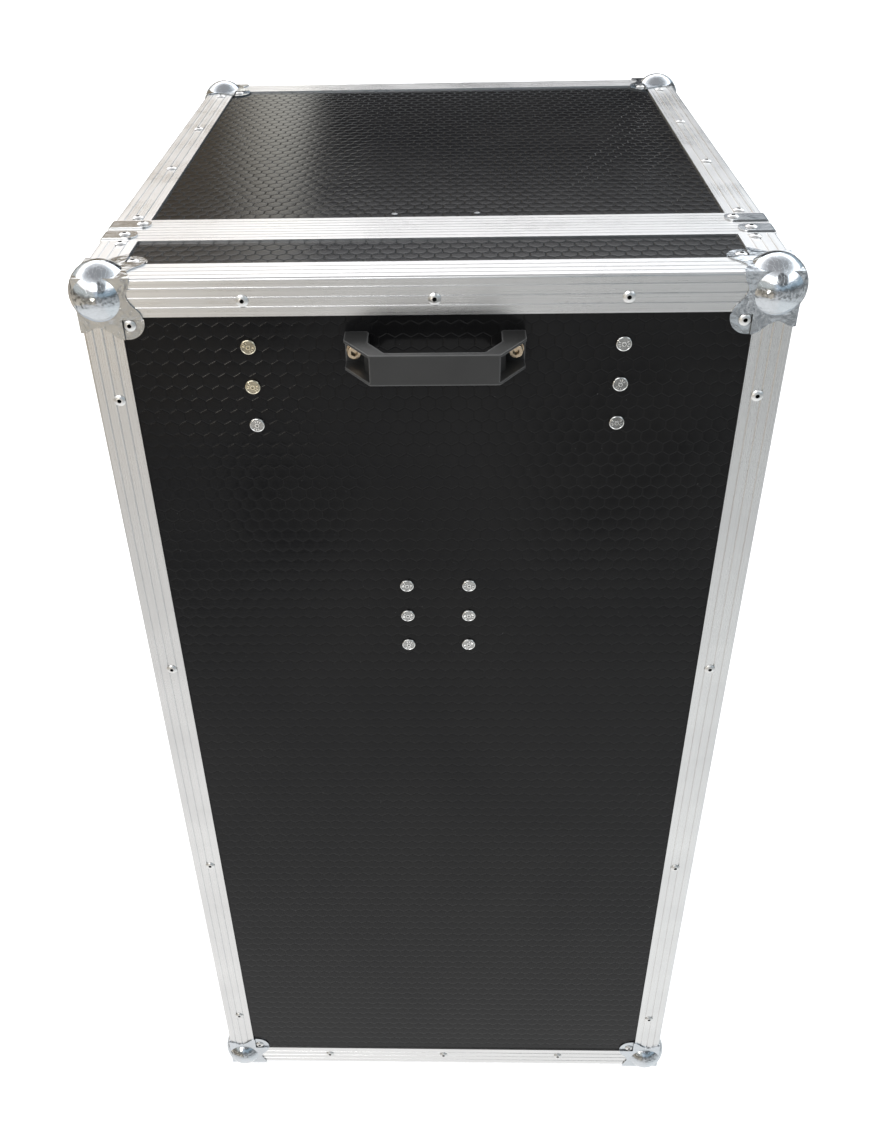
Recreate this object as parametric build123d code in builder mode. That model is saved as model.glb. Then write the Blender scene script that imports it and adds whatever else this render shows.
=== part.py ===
from build123d import *
from math import cos, radians, sin
import os

os.makedirs("parts", exist_ok=True)

# Equipment rack case: a tall 19-inch rack body with a lift-off front cover.
# Millimetres, +Z up, the cover faces -Y, the floor is Z = 0.
# Depths marked "d" are measured inwards from the outer face of the edge profiles.

# ---------------------------------------------------------------- main sizes
WIDTH = 530.0
HEIGHT = 1034.0
DEPTH = 600.0
COVER_DEPTH = 104.5
FOOT_HEIGHT = 16.0
SEAM = 0.3

# edge profile: double-angle aluminium extrusion with a slot for each panel
SKIN = 1.5
LEG = 30.0
PANEL = 9.0
SLOT = 10.6
TUBE = 12.1
INNER = 20.6
EDGE_R = 2.0
GROOVE = 0.8

# rim extrusion either side of the seam
RIM_LEG = 24.5
RIM_INNER = 20.0
RIM_WEB = 8.8
TONGUE_D0 = 4.6
TONGUE_D1 = 7.8
TONGUE_REACH = 5.3

# pressed ball corner
BALL_R = 24.0
BALL_INSET = 15.0
BALL_WALL = 1.3
PLATE = 1.2
TAB_AT = 36.4

# fixings
RIVET_HEAD = 4.75
RIVET_RISE = 1.6
RIVET_SHANK = 2.4
RIVET_CORE = 1.65
RIVET_HOLE = 2.45
RIVET_LINE = 17.5

# bridge handle on the cover
GRIP_REACH = 41.0
GRIP_TALL = 24.0
GRIP_DROP = 55.5

# nineteen-inch rack rails
RACK_UNITS = 22
RACK_UNIT = 44.45
RACK_CENTRES = 465.1
RACK_HOLE_R = 3.0
RAIL_SKIN = 2.0
RAIL_LEG = 30.0
RAIL_TIP = 222.0
RAIL_SETBACK = 22.0

# ---------------------------------------------------------------- placing planes
BALL_PROUD = BALL_R - BALL_INSET
XS = WIDTH / 2
Z0 = FOOT_HEIGHT
Z1 = Z0 + HEIGHT
ZM = (Z0 + Z1) / 2
Y_FRONT = -(DEPTH + BALL_PROUD - GRIP_REACH) / 2
Y_BACK = Y_FRONT + DEPTH
Y_SEAM = Y_FRONT + COVER_DEPTH
PANEL_OUT = SKIN
PANEL_IN = SKIN + PANEL
PANEL_EDGE = TUBE + 0.1

RING_DROPS = [99.0 + k * (HEIGHT - 198.0) / 3 for k in range(4)]
RING_XS = [-142.0, 0.0, 142.0]
SIDE_RIVET_YS = [Y_FRONT + 135.5 + k * 137.5 for k in range(4)]
FIT_DROPS = [230.0, 804.0]
FIT_SITES = [(s, Z1 - drop) for s in (-1, 1) for drop in FIT_DROPS]
HANDLE_Y = (Y_SEAM + Y_BACK) / 2
RAIL_DROPS = [50.0, 160.0, 330.0, 517.0, 704.0, 874.0, 984.0]
RAIL_YS = {"front": Y_SEAM + RAIL_SETBACK, "rear": Y_BACK - 60.0}
BOLT_POINTS = [(x, d) for x in (-141.5, 141.5) for d in (55.0, 88.5, 122.0)]
BOLT_POINTS += [(x, d) for x in (-27.0, 27.0) for d in (282.0, 315.25, 348.5)]
BOLT_TURNS = [-38.0, -20.0, 78.0, 4.0, 66.0, 0.0, -24.0, -12.0, 80.0, -30.0, 12.0, 48.0]
TICK_ANGLES = [-30.0, 0.0, 30.0, 150.0, 180.0, 210.0]
HANDLE_SCREW_X = 60.2


# ---------------------------------------------------------------- small helpers
def slab(x0, x1, y0, y1, z0, z1, mode=Mode.ADD):
    """A block between two corners."""
    with Locations(((x0 + x1) / 2, (y0 + y1) / 2, (z0 + z1) / 2)):
        Box(abs(x1 - x0), abs(y1 - y0), abs(z1 - z0), mode=mode)


def strip(a0, a1, b0, b1, mode=Mode.ADD):
    """A flat rectangle between two corners of the current sketch."""
    with Locations(((a0 + a1) / 2, (b0 + b1) / 2)):
        Rectangle(abs(a1 - a0), abs(b1 - b0), mode=mode)


def save(builder, name):
    """Label one finished piece and write its STEP file."""
    builder.part.label = name
    export_step(builder.part, "parts/" + name + ".step")


def drill(fixings, radius, depth=20.0):
    """Straight holes from just outside each fixing point inwards."""
    planes = [Plane(origin=p, z_dir=d).offset(-3.0) for p, d in fixings]
    with Locations(*planes):
        Cylinder(
            radius,
            depth + 3.0,
            align=(Align.CENTER, Align.CENTER, Align.MIN),
            mode=Mode.SUBTRACT,
        )


def seam_plane(s, z, d):
    """Side face plane: sketch x runs back from the seam, extruding goes inwards."""
    return Plane(origin=(s * (XS - d), Y_SEAM, z), x_dir=(0, 1, 0), z_dir=(-s, 0, 0))


def grip_plane(s, z, d):
    """Side face plane centred on the body's depth with sketch y upwards."""
    return Plane(origin=(s * (XS - d), HANDLE_Y, z), x_dir=(0, -s, 0), z_dir=(-s, 0, 0))


# ---------------------------------------------------------------- fixing points
# each entry is (point on the outer profile face, inward direction)
def face_points(face, points):
    """Turn in-face coordinates into (point, direction) pairs."""
    out = []
    for a, b in points:
        if face == "front":
            out.append(((a, Y_FRONT, b), (0, 1, 0)))
        elif face == "back":
            out.append(((a, Y_BACK, b), (0, -1, 0)))
        elif face == "top":
            out.append(((a, b, Z1), (0, 0, -1)))
        elif face == "bottom":
            out.append(((a, b, Z0), (0, 0, 1)))
        elif face == "left":
            out.append(((-XS, a, b), (1, 0, 0)))
        else:
            out.append(((XS, a, b), (-1, 0, 0)))
    return out


def ring_points():
    """Rivets in the frame of the front or back face."""
    points = [(x, Z1 - RIVET_LINE) for x in RING_XS]
    points += [(x, Z0 + RIVET_LINE) for x in RING_XS]
    points += [(s * (XS - 18.0), Z1 - drop) for s in (-1, 1) for drop in RING_DROPS]
    return points


def both_sides(ys, inset):
    """Points on a top or bottom face at one inset from each side."""
    return [(s * (XS - inset), y) for s in (-1, 1) for y in ys]


def both_ends(ys, inset):
    """Points on a side face at one inset from the top and from the bottom."""
    return [(y, z) for y in ys for z in (Z0 + inset, Z1 - inset)]


STRAP_BODY = 26.0
STRAP_COVER = 17.0
STRAP_OFF = 12.2

profile_rivets = {}
strap_rivets = {}
tab_rivets = {}
for where, y_face in (("front", Y_FRONT), ("back", Y_BACK)):
    tab = [(s * (XS - TAB_AT), z) for s in (-1, 1) for z in (Z0 + TAB_AT, Z1 - TAB_AT)]
    profile_rivets[where] = face_points(where, ring_points())
    tab_rivets[where] = face_points(where, tab)
for part_name, y_face, inward in (("cover", Y_FRONT, 1), ("body", Y_BACK, -1)):
    own_ys = [Y_FRONT + 74.5] if part_name == "cover" else SIDE_RIVET_YS
    strap_y = Y_SEAM - STRAP_OFF if part_name == "cover" else Y_SEAM + STRAP_OFF
    strap_in = STRAP_COVER if part_name == "cover" else STRAP_BODY
    ring_side = [(y_face + inward * 18.0, Z1 - drop) for drop in RING_DROPS]
    tab_y = y_face + inward * TAB_AT
    for face in ("top", "bottom"):
        key = part_name + "_" + face
        profile_rivets[key] = face_points(face, both_sides(own_ys, RIVET_LINE))
        strap_rivets[key] = face_points(face, both_sides([strap_y], strap_in))
        tab_rivets[key] = face_points(face, both_sides([tab_y], TAB_AT))
    for face in ("left", "right"):
        key = part_name + "_" + face
        own = both_ends(own_ys, RIVET_LINE) + ring_side
        profile_rivets[key] = face_points(face, own)
        strap_rivets[key] = face_points(face, both_ends([strap_y], strap_in))
        tab_rivets[key] = face_points(face, both_ends([tab_y], TAB_AT))

# dish rivets sit on the recessed panel face of the two sides
dish_rivets = {"cover_left": [], "cover_right": [], "body_left": [], "body_right": []}
for s, z in FIT_SITES:
    side = "left" if s < 0 else "right"
    latch = [(Y_SEAM + u, z + w) for u in (17.0, 85.6) for w in (-47.6, 47.6)]
    keeper = [(Y_SEAM + u, z + w) for u in (-39.6, -17.0) for w in (-44.0, 44.0)]
    grip = [(HANDLE_Y + a, z + b) for a in (-80.0, 80.0) for b in (-54.0, 54.0)]
    dish_rivets["body_" + side] += face_points(side, latch + grip)
    dish_rivets["cover_" + side] += face_points(side, keeper)

rail_screws = []
for s in (-1, 1):
    for y in (RAIL_YS["front"] + 16.0, RAIL_YS["rear"] - 16.0):
        for drop in RAIL_DROPS:
            rail_screws.append((s, y, Z1 - drop))


def face_holes(key):
    """Every rivet that enters one face of the cover or the body."""
    found = []
    for group in (profile_rivets, strap_rivets, tab_rivets, dish_rivets):
        found += group.get(key, [])
    return found


# ---------------------------------------------------------------- profile sections
def angle_section():
    """Double angle: two outer legs, square tube in the corner, two inner legs."""
    strip(0, LEG, 0, SKIN)
    strip(0, SKIN, 0, LEG)
    strip(SLOT, TUBE, 0, TUBE)
    strip(0, TUBE, SLOT, TUBE)
    strip(SLOT, INNER, SLOT, TUBE)
    strip(SLOT, TUBE, SLOT, INNER)
    fillet(vertices().sort_by_distance((0, 0, 0))[0], EDGE_R)
    lines = [LEG * k / 4 for k in (1, 2, 3)]
    with Locations(*[(a, 0) for a in lines], *[(0, a) for a in lines]):
        Rectangle(GROOVE, GROOVE, rotation=45, mode=Mode.SUBTRACT)


def rim_base():
    """Legs and web shared by the tongue rim and the groove rim."""
    strip(SEAM, RIM_LEG, 0, SKIN)
    strip(SEAM, RIM_INNER, SLOT, TUBE)
    strip(RIM_WEB - 1.4, RIM_WEB, 0, TUBE)
    strip(SEAM, SEAM + SKIN, 0, TONGUE_D0 - 0.4)
    strip(SEAM, SEAM + SKIN, TONGUE_D1 + 0.4, TUBE)


def tongue_section():
    """Body rim with its tongue reaching across the seam."""
    rim_base()
    strip(SEAM, SEAM + SKIN, 0, TUBE)
    strip(-TONGUE_REACH, SEAM + SKIN, TONGUE_D0, TONGUE_D1)
    with Locations(*[(RIM_LEG * k / 4, 0) for k in (1, 2, 3)]):
        Rectangle(GROOVE, GROOVE, rotation=45, mode=Mode.SUBTRACT)


def groove_section():
    """Cover rim with the groove that swallows the tongue."""
    rim_base()
    strip(SEAM, RIM_WEB, TONGUE_D0 - 1.9, TONGUE_D0 - 0.4)
    strip(SEAM, RIM_WEB, TONGUE_D1 + 0.4, TONGUE_D1 + 1.9)
    with Locations(*[(RIM_LEG * k / 4, 0) for k in (1, 2, 3)]):
        Rectangle(GROOVE, GROOVE, rotation=45, mode=Mode.SUBTRACT)


def ring_piece(section, y_edge, inward, side):
    """One mitred side of a rectangular frame lying in an XZ plane."""
    frames = {
        "top": ((0, y_edge, Z1), Vector(0, 0, -1), WIDTH),
        "bottom": ((0, y_edge, Z0), Vector(0, 0, 1), WIDTH),
        "left": ((-XS, y_edge, ZM), Vector(1, 0, 0), HEIGHT),
        "right": ((XS, y_edge, ZM), Vector(-1, 0, 0), HEIGHT),
    }
    origin, across, length = frames[side]
    along = Vector(0, inward, 0)
    t = LEG + 2.0
    wedges = {
        "top": [(-XS, Z1), (XS, Z1), (XS - t, Z1 - t), (-XS + t, Z1 - t)],
        "bottom": [(-XS, Z0), (XS, Z0), (XS - t, Z0 + t), (-XS + t, Z0 + t)],
        "left": [(-XS, Z0), (-XS, Z1), (-XS + t, Z1 - t), (-XS + t, Z0 + t)],
        "right": [(XS, Z0), (XS, Z1), (XS - t, Z1 - t), (XS - t, Z0 + t)],
    }
    with BuildPart() as piece:
        with BuildSketch(Plane(origin=origin, x_dir=along, z_dir=along.cross(across))):
            section()
        extrude(amount=length / 2, both=True)
        with BuildSketch(Plane.XZ.offset(-DEPTH)):
            with BuildLine():
                Polyline(*wedges[side], close=True)
            make_face()
        extrude(amount=2 * DEPTH, mode=Mode.INTERSECT)
    return piece.part


def side_angle(s, top, y0, y1):
    """One edge profile running front to back between two depths."""
    across = Vector(-s, 0, 0)
    down = Vector(0, 0, -1 if top else 1)
    z = Z1 if top else Z0
    with BuildPart() as piece:
        plane = Plane(
            origin=(s * XS, (y0 + y1) / 2, z), x_dir=across, z_dir=across.cross(down)
        )
        with BuildSketch(plane):
            angle_section()
        extrude(amount=(y1 - y0) / 2, both=True)
    return piece.part


def all_holes(keys):
    """Rivet points of several faces in one list."""
    found = []
    for key in keys:
        found += face_holes(key)
    return found


COVER_FACES = ["front", "cover_top", "cover_bottom", "cover_left", "cover_right"]
BODY_FACES = ["back", "body_top", "body_bottom", "body_left", "body_right"]


# ================================================================ panels
def flat_panel(x0, x1, y0, y1, z0, z1, holes):
    """One plywood panel with the rivet holes of its face."""
    with BuildPart() as panel:
        slab(x0, x1, y0, y1, z0, z1)
        drill(holes, RIVET_HOLE)
    return panel


px = XS - PANEL_EDGE
pz0 = Z0 + PANEL_EDGE
pz1 = Z1 - PANEL_EDGE
cy0 = Y_FRONT + PANEL_EDGE
cy1 = Y_SEAM - RIM_WEB - 0.1
by0 = Y_SEAM + RIM_WEB + 0.1
by1 = Y_BACK - PANEL_EDGE

body_top_panel = flat_panel(
    -px, px, by0, by1, Z1 - PANEL_IN, Z1 - PANEL_OUT, face_holes("body_top")
)
cleat_points = [((s * 34.2, Y_FRONT + 139.0, Z1), (0, 0, -1)) for s in (-1, 1)]
with BuildPart() as body_top_drilled:
    add(body_top_panel.part)
    drill(cleat_points, 1.3)
save(body_top_drilled, "body_top_panel")

FOOT_POINTS = [(s * (XS - 60.0), y) for s in (-1, 1) for y in (Y_SEAM + 60.0, Y_BACK - 60.0)]
foot_screw_points = [((x, y, Z0), (0, 0, 1)) for x, y in FOOT_POINTS]
body_bottom_panel = flat_panel(
    -px, px, by0, by1, Z0 + PANEL_OUT, Z0 + PANEL_IN, face_holes("body_bottom")
)
with BuildPart() as body_bottom_drilled:
    add(body_bottom_panel.part)
    drill(foot_screw_points, 2.55)
save(body_bottom_drilled, "body_bottom_panel")

body_back_panel = flat_panel(
    -px, px, Y_BACK - PANEL_IN, Y_BACK - PANEL_OUT, pz0, pz1, face_holes("back")
)
save(body_back_panel, "body_back_panel")

GRIP_OPEN_Y = 140.0
GRIP_OPEN_Z = 92.0
for s, side in ((-1, "left"), (1, "right")):
    with BuildPart() as body_side_panel:
        slab(s * (XS - PANEL_IN), s * (XS - PANEL_OUT), by0, by1, pz0, pz1)
        drill(face_holes("body_" + side), RIVET_HOLE)
        for site, z in FIT_SITES:
            if site == s:
                with BuildSketch(seam_plane(s, z, 0)):
                    strip(0, 79.5, -41.5, 41.5)
                extrude(amount=12, mode=Mode.SUBTRACT)
                with BuildSketch(grip_plane(s, z, 0)):
                    RectangleRounded(GRIP_OPEN_Y + 3.0, GRIP_OPEN_Z + 3.0, 10.0)
                extrude(amount=12, mode=Mode.SUBTRACT)
        pilots = [((s * (XS - TUBE), y, z), (s, 0, 0)) for k, y, z in rail_screws if k == s]
        drill(pilots, 2.15, 7.2)
    save(body_side_panel, "body_" + side + "_panel")

cover_front = flat_panel(
    -px, px, Y_FRONT + PANEL_OUT, Y_FRONT + PANEL_IN, pz0, pz1, face_holes("front")
)
bolt_holes = [((x, Y_FRONT, Z1 - drop), (0, 1, 0)) for x, drop in BOLT_POINTS]
grip_holes = [((s * HANDLE_SCREW_X, Y_FRONT, Z1 - GRIP_DROP), (0, 1, 0)) for s in (-1, 1)]
with BuildPart() as cover_front_drilled:
    add(cover_front.part)
    drill(bolt_holes + grip_holes, 3.1)
save(cover_front_drilled, "cover_front_panel")

cover_top_wall = flat_panel(
    -px, px, cy0, cy1, Z1 - PANEL_IN, Z1 - PANEL_OUT, face_holes("cover_top")
)
save(cover_top_wall, "cover_top_wall")
cover_bottom_wall = flat_panel(
    -px, px, cy0, cy1, Z0 + PANEL_OUT, Z0 + PANEL_IN, face_holes("cover_bottom")
)
save(cover_bottom_wall, "cover_bottom_wall")

for s, side in ((-1, "left"), (1, "right")):
    with BuildPart() as cover_side_wall:
        slab(s * (XS - PANEL_IN), s * (XS - PANEL_OUT), cy0, cy1, pz0, pz1)
        drill(face_holes("cover_" + side), RIVET_HOLE)
        for site, z in FIT_SITES:
            if site == s:
                with BuildSketch(seam_plane(s, z, 0)):
                    strip(-33.5, 0, -27.5, 27.5)
                extrude(amount=12, mode=Mode.SUBTRACT)
    save(cover_side_wall, "cover_" + side + "_wall")


# ================================================================ edge profiles
def frame_pair(section, y_edge, inward, sides, keys):
    """Two opposite mitred sides of one frame, drilled for their rivets."""
    with BuildPart() as pair:
        for side in sides:
            add(ring_piece(section, y_edge, inward, side))
        drill(all_holes(keys), RIVET_HOLE)
    return pair


def corner_angles(y0, y1, keys):
    """The four front-to-back edge profiles of the cover or of the body."""
    with BuildPart() as four:
        for s in (-1, 1):
            for top in (False, True):
                add(side_angle(s, top, y0, y1))
        drill(all_holes(keys), RIVET_HOLE)
    return four


LEVEL = ["top", "bottom"]
UPRIGHT = ["left", "right"]
save(frame_pair(angle_section, Y_FRONT, 1, LEVEL, COVER_FACES), "cover_angles_horizontal")
save(frame_pair(angle_section, Y_FRONT, 1, UPRIGHT, COVER_FACES), "cover_angles_vertical")
save(frame_pair(angle_section, Y_BACK, -1, LEVEL, BODY_FACES), "back_angles_horizontal")
save(frame_pair(angle_section, Y_BACK, -1, UPRIGHT, BODY_FACES), "back_angles_vertical")
save(
    corner_angles(Y_FRONT + LEG, Y_SEAM - RIM_LEG, COVER_FACES), "cover_corner_angles"
)
save(corner_angles(Y_SEAM + RIM_LEG, Y_BACK - LEG, BODY_FACES), "body_side_angles")
save(frame_pair(groove_section, Y_SEAM, -1, LEVEL, COVER_FACES), "cover_rim_horizontal")
save(frame_pair(tongue_section, Y_SEAM, 1, LEVEL, BODY_FACES), "body_rim_horizontal")

NOTCH = 54.3
for name, section, inward, keys in (
    ("cover_rim_vertical", groove_section, -1, COVER_FACES),
    ("body_rim_vertical", tongue_section, 1, BODY_FACES),
):
    whole = frame_pair(section, Y_SEAM, inward, UPRIGHT, keys)
    with BuildPart() as notched:
        add(whole.part)
        for s, z in FIT_SITES:
            with BuildSketch(seam_plane(s, z, -1.0)):
                strip(-30.0, 30.0, -NOTCH, NOTCH)
            extrude(amount=20, mode=Mode.SUBTRACT)
    save(notched, name)


# ================================================================ rim straps
def straps(y0, y1, reach, keys):
    """Four flat L straps lapped round the corners of one rim."""
    with BuildPart() as four:
        with BuildSketch(Plane.XZ.offset(-y0)):
            with Locations((0, ZM)):
                RectangleRounded(WIDTH + 2 * PLATE, HEIGHT + 2 * PLATE, 2.4)
                Rectangle(WIDTH, HEIGHT, mode=Mode.SUBTRACT)
            strip(-XS + reach, XS - reach, Z0 - 9, Z1 + 9, mode=Mode.SUBTRACT)
            strip(-XS - 9, XS + 9, Z0 + reach, Z1 - reach, mode=Mode.SUBTRACT)
        extrude(amount=-(y1 - y0))
        tips = edges().filter_by(Axis.Z).group_by(SortBy.LENGTH)[0]
        tips = tips.filter_by(lambda e: abs(e.length - PLATE) < 0.01)
        fillet(tips, 6.5)
        sides = edges().filter_by(Axis.X)
        sides = sides.filter_by(lambda e: abs(e.length - PLATE) < 0.01)
        fillet(sides, 6.5)
        found = []
        for key in keys:
            found += strap_rivets.get(key, [])
        drill(found, RIVET_HOLE)
    return four


save(straps(Y_SEAM - STRAP_OFF - 7.8, Y_SEAM - STRAP_OFF + 7.8, 27.0, COVER_FACES), "cover_straps")
save(straps(Y_SEAM + STRAP_OFF - 7.8, Y_SEAM + STRAP_OFF + 7.8, 33.0, BODY_FACES), "body_straps")


# ================================================================ ball corners
def corner_plate(across, normal):
    """Pressed corner plate: two legs along the edges and a riveted tab between."""
    with BuildPart() as plate:
        with BuildSketch(Plane(origin=(0, 0, 0), x_dir=across, z_dir=normal).offset(-PLATE)):
            with BuildLine():
                Line((-PLATE, -PLATE), (41.5, -PLATE))
                Spline((41.5, -PLATE), (40.0, 6.0), (37.4, 12.0), (39.2, 18.0), (44.6, 24.4))
                ThreePointArc((44.6, 24.4), (43.7, 43.7), (24.4, 44.6))
                Spline((24.4, 44.6), (18.0, 39.2), (12.0, 37.4), (6.0, 40.0), (-PLATE, 41.5))
                Line((-PLATE, 41.5), (-PLATE, -PLATE))
            make_face()
        extrude(amount=PLATE + PANEL_OUT)
    return plate.part


FACES = [((1, 0, 0), (0, 0, 1)), ((0, 0, 1), (0, 1, 0)), ((0, 1, 0), (1, 0, 0))]
CRANK = LEG + 0.3

with BuildPart() as corner_core:
    slab(0, 80, 0, 80, 0, 80)
    for across, normal in FACES:
        with BuildSketch(Plane(origin=(0, 0, 0), x_dir=across, z_dir=normal)):
            strip(CRANK, 81, CRANK, 81)
        extrude(amount=PANEL_OUT, mode=Mode.SUBTRACT)

with BuildPart() as ball_corner:
    for across, normal in FACES:
        add(corner_plate(across, normal))
    with Locations((BALL_INSET, BALL_INSET, BALL_INSET)):
        Sphere(BALL_R)
        Sphere(BALL_R - BALL_WALL, mode=Mode.SUBTRACT)
    add(corner_core.part, mode=Mode.SUBTRACT)
    for across, normal in FACES:
        with BuildSketch(Plane(origin=(0, 0, 0), x_dir=across, z_dir=normal).offset(-5)):
            strip(CRANK + PLATE, 60, CRANK + PLATE, 60)
        extrude(amount=5 + PANEL_OUT - PLATE, mode=Mode.SUBTRACT)
        with BuildSketch(Plane(origin=(0, 0, 0), x_dir=across, z_dir=normal).offset(-5)):
            with Locations((TAB_AT, TAB_AT)):
                Circle(RIVET_HOLE)
        extrude(amount=10, mode=Mode.SUBTRACT)


def corner_at(s, front, top):
    """The corner pressing mirrored into one of the eight corners."""
    piece = ball_corner.part
    if s > 0:
        piece = mirror(piece, about=Plane.YZ)
    if not front:
        piece = mirror(piece, about=Plane.XZ)
    if top:
        piece = mirror(piece, about=Plane.XY)
    place = (s * XS, Y_FRONT if front else Y_BACK, Z1 if top else Z0)
    return Pos(*place) * piece


for name, front in (("cover_ball_corners", True), ("body_ball_corners", False)):
    pieces = [corner_at(s, front, top) for s in (-1, 1) for top in (False, True)]
    with BuildPart() as four_corners:
        for piece in pieces:
            add(piece)
    save(four_corners, name)


# ================================================================ rivets
def rivet(grip):
    """Blind rivet: domed head with a hollow core, shank, upset tail."""
    with BuildPart() as one:
        with BuildSketch(Plane.XZ):
            with BuildLine():
                Polyline(
                    (RIVET_CORE, -RIVET_RISE),
                    (RIVET_CORE, 2.4),
                    (0, 2.4),
                    (0, grip + 1.3),
                    (3.2, grip + 1.3),
                    (3.2, grip),
                    (RIVET_SHANK, grip),
                    (RIVET_SHANK, 0),
                    (RIVET_HEAD, 0),
                    (RIVET_HEAD, -0.4),
                )
                ThreePointArc((RIVET_HEAD, -0.4), (3.6, -1.2), (RIVET_CORE, -RIVET_RISE))
            make_face()
        revolve(axis=Axis.Z)
    return one.part


profile_rivet = rivet(TUBE)
strap_rivet = rivet(TUBE + PLATE)
tab_rivet = rivet(PANEL_IN - (PANEL_OUT - PLATE))

for name, keys in (("cover_rivets", COVER_FACES), ("body_rivets", BODY_FACES)):
    groups = (
        (profile_rivet, profile_rivets, 0.0),
        (strap_rivet, strap_rivets, -PLATE),
        (tab_rivet, tab_rivets, PANEL_OUT - PLATE),
        (tab_rivet, dish_rivets, PANEL_OUT - PLATE),
    )
    with BuildPart() as all_rivets:
        for model, table, level in groups:
            spots = []
            for key in keys:
                spots += [Plane(origin=p, z_dir=d).offset(level) for p, d in table.get(key, [])]
            with Locations(*spots):
                add(model)
    save(all_rivets, name)


# ================================================================ rack rails
def rack_rail(s, y_face, facing):
    """Steel angle with the nineteen-inch hole pitch in its face."""
    z0 = Z0 + 24.0
    z1 = Z1 - 24.0
    x_out = s * (XS - PANEL_IN)
    first = ZM - RACK_UNITS * RACK_UNIT / 2
    spots = []
    for unit in range(RACK_UNITS):
        for step in (6.35, 22.225, 38.1):
            spots.append((s * RACK_CENTRES / 2, first + unit * RACK_UNIT + step))
    with BuildPart() as rail:
        slab(s * RAIL_TIP, x_out, y_face, y_face + facing * RAIL_SKIN, z0, z1)
        slab(x_out - s * RAIL_SKIN, x_out, y_face, y_face + facing * RAIL_LEG, z0, z1)
        with BuildSketch(Plane.XZ.offset(-y_face)):
            with Locations(*spots):
                Circle(RACK_HOLE_R)
        extrude(amount=4, both=True, mode=Mode.SUBTRACT)
        pilots = [((x_out - s * 5.0, y, z), (s, 0, 0)) for k, y, z in rail_screws if k == s]
        drill(pilots, 2.6, 6.0)
        if facing > 0:
            pivots = [((x_out, Y_SEAM + 38.0, z), (s, 0, 0)) for k, z in FIT_SITES if k == s]
            drill(pivots, 9.5, 6.0)
    return rail


for s, side in ((-1, "left"), (1, "right")):
    save(rack_rail(s, RAIL_YS["front"], 1), "rack_rail_front_" + side)
    save(rack_rail(s, RAIL_YS["rear"], -1), "rack_rail_rear_" + side)

with BuildPart() as wood_screw:
    with BuildSketch(Plane.XZ):
        with BuildLine():
            Polyline((0, 7.0), (2.1, 6.2), (2.1, 0), (4.5, 0), (4.5, -0.8))
            ThreePointArc((4.5, -0.8), (3.2, -1.9), (0, -2.4))
            Line((0, -2.4), (0, 7.0))
        make_face()
    revolve(axis=Axis.Z)
    slab(-2.2, 2.2, -0.4, 0.4, -3.0, -1.2, mode=Mode.SUBTRACT)
    slab(-0.4, 0.4, -2.2, 2.2, -3.0, -1.2, mode=Mode.SUBTRACT)

with BuildPart() as rail_screw_set:
    places = []
    for s, y, z in rail_screws:
        x = s * (XS - PANEL_IN - RAIL_SKIN)
        places.append(Plane(origin=(x, y, z), z_dir=(s, 0, 0)))
    with Locations(*places):
        add(wood_screw.part)
save(rail_screw_set, "rack_rail_screws")


# ================================================================ latches
LATCH_U = 38.0
FLOOR_D = 9.0
PIVOT_R = 4.95
HOOK_D0 = 5.8
HOOK_D1 = 7.2
DISC_D0 = 3.6
DISC_D1 = 5.4
WING_D = 1.9
LUG_W = 13.7

with BuildPart() as latch_dishes:
    for s, z in FIT_SITES:
        with BuildSketch(seam_plane(s, z, PANEL_OUT - PLATE)):
            strip(SEAM, 92.0, -54.0, 54.0)
        extrude(amount=PLATE)
        with BuildSketch(seam_plane(s, z, PANEL_OUT)):
            strip(SEAM, 79.2, -41.2, 41.2)
            strip(SEAM, RIM_WEB, -54.0, 54.0)
        extrude(amount=FLOOR_D + PLATE - PANEL_OUT)
    for s, z in FIT_SITES:
        with BuildSketch(seam_plane(s, z, 0)):
            strip(SEAM + PLATE, 78.0, -40.0, 40.0)
        extrude(amount=FLOOR_D, mode=Mode.SUBTRACT)
        with BuildSketch(seam_plane(s, z, 0)):
            strip(0, 3.0, -9.8, 9.8)
        extrude(amount=HOOK_D1 + 0.8, mode=Mode.SUBTRACT)
        with BuildSketch(seam_plane(s, z, FLOOR_D - 1)):
            with Locations((LATCH_U, 0)):
                Circle(PIVOT_R + 0.05)
        extrude(amount=5, mode=Mode.SUBTRACT)
    drill(dish_rivets["body_left"] + dish_rivets["body_right"], RIVET_HOLE)
save(latch_dishes, "latch_dishes")

with BuildPart() as keeper_dishes:
    for s, z in FIT_SITES:
        with BuildSketch(seam_plane(s, z, PANEL_OUT - PLATE)):
            strip(-46.0, -SEAM, -54.0, 54.0)
        extrude(amount=PLATE)
        with BuildSketch(seam_plane(s, z, PANEL_OUT)):
            strip(-33.2, -SEAM, -27.2, 27.2)
            strip(-RIM_WEB, -SEAM, -54.0, 54.0)
        extrude(amount=FLOOR_D + PLATE - PANEL_OUT)
    for s, z in FIT_SITES:
        with BuildSketch(seam_plane(s, z, 0)):
            strip(-32.0, -SEAM - PLATE, -26.0, 26.0)
        extrude(amount=FLOOR_D, mode=Mode.SUBTRACT)
        with BuildSketch(seam_plane(s, z, 0)):
            strip(-3.0, 0, -9.8, 9.8)
        extrude(amount=HOOK_D1 + 0.8, mode=Mode.SUBTRACT)
    for s, z in FIT_SITES:
        with BuildSketch(seam_plane(s, z, HOOK_D1 + 0.7)):
            strip(-13.5, -8.5, -8.0, 8.0)
        extrude(amount=FLOOR_D - HOOK_D1 - 0.6)
    drill(dish_rivets["cover_left"] + dish_rivets["cover_right"], RIVET_HOLE)
save(keeper_dishes, "keeper_dishes")

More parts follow.
